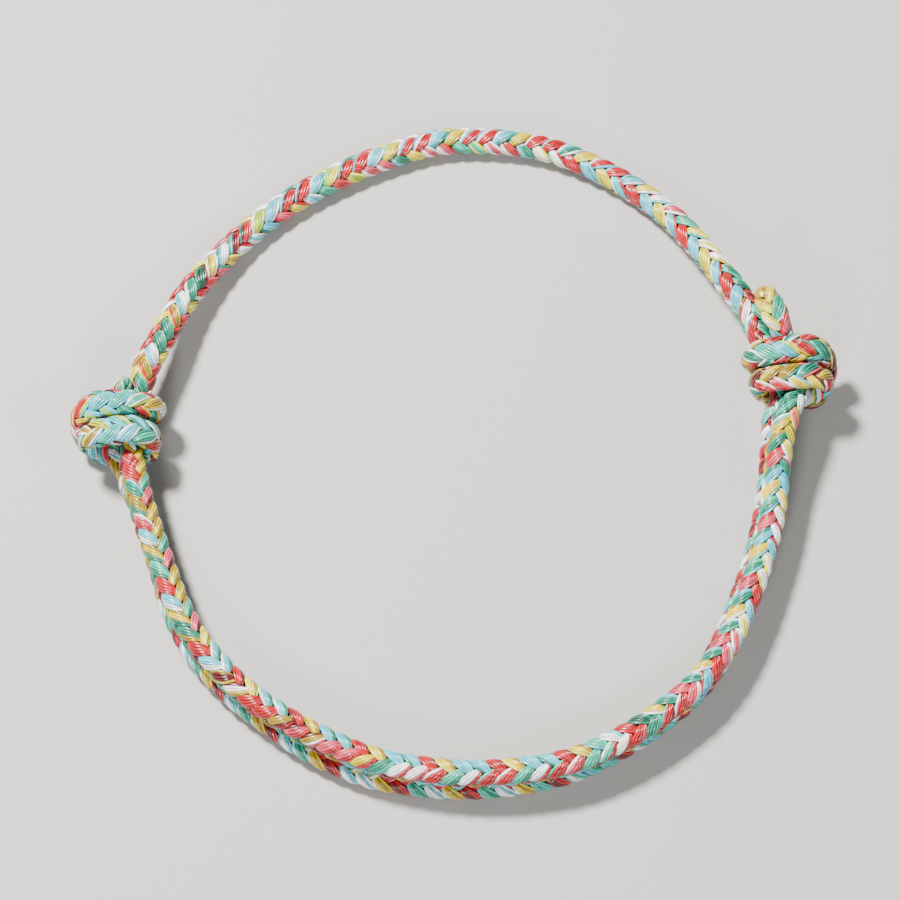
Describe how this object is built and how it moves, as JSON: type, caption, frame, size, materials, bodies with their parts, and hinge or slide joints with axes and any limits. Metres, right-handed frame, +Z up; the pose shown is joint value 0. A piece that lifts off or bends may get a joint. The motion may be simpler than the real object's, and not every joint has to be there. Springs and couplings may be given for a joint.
{
  "type": "woven cord bracelet",
  "caption": "Slip-on bracelet of one braided cord: a single length over the far side, two lengths together along the near side, joined by two sliding knots.",
  "frame": {"origin": "under the middle of the loop's box, on the surface it lies on", "axes": "+Z up; +X towards the knot with the long cut end, -X towards the other knot; +Y towards the single far side, -Y towards the doubled near side"},
  "size_m": [0.0764, 0.0712, 0.0086],
  "materials": {
    "braided_cord": "satin",
    "cut_end": "satin"
  },
  "bodies": {
    "root": {"single_cord": "braided_cord", "upper_cord": "braided_cord", "lower_cord": "braided_cord", "left_knot": "braided_cord", "right_knot": "braided_cord", "left_cut_end": "cut_end", "right_cut_end": "cut_end"}
  },
  "joints": []
}
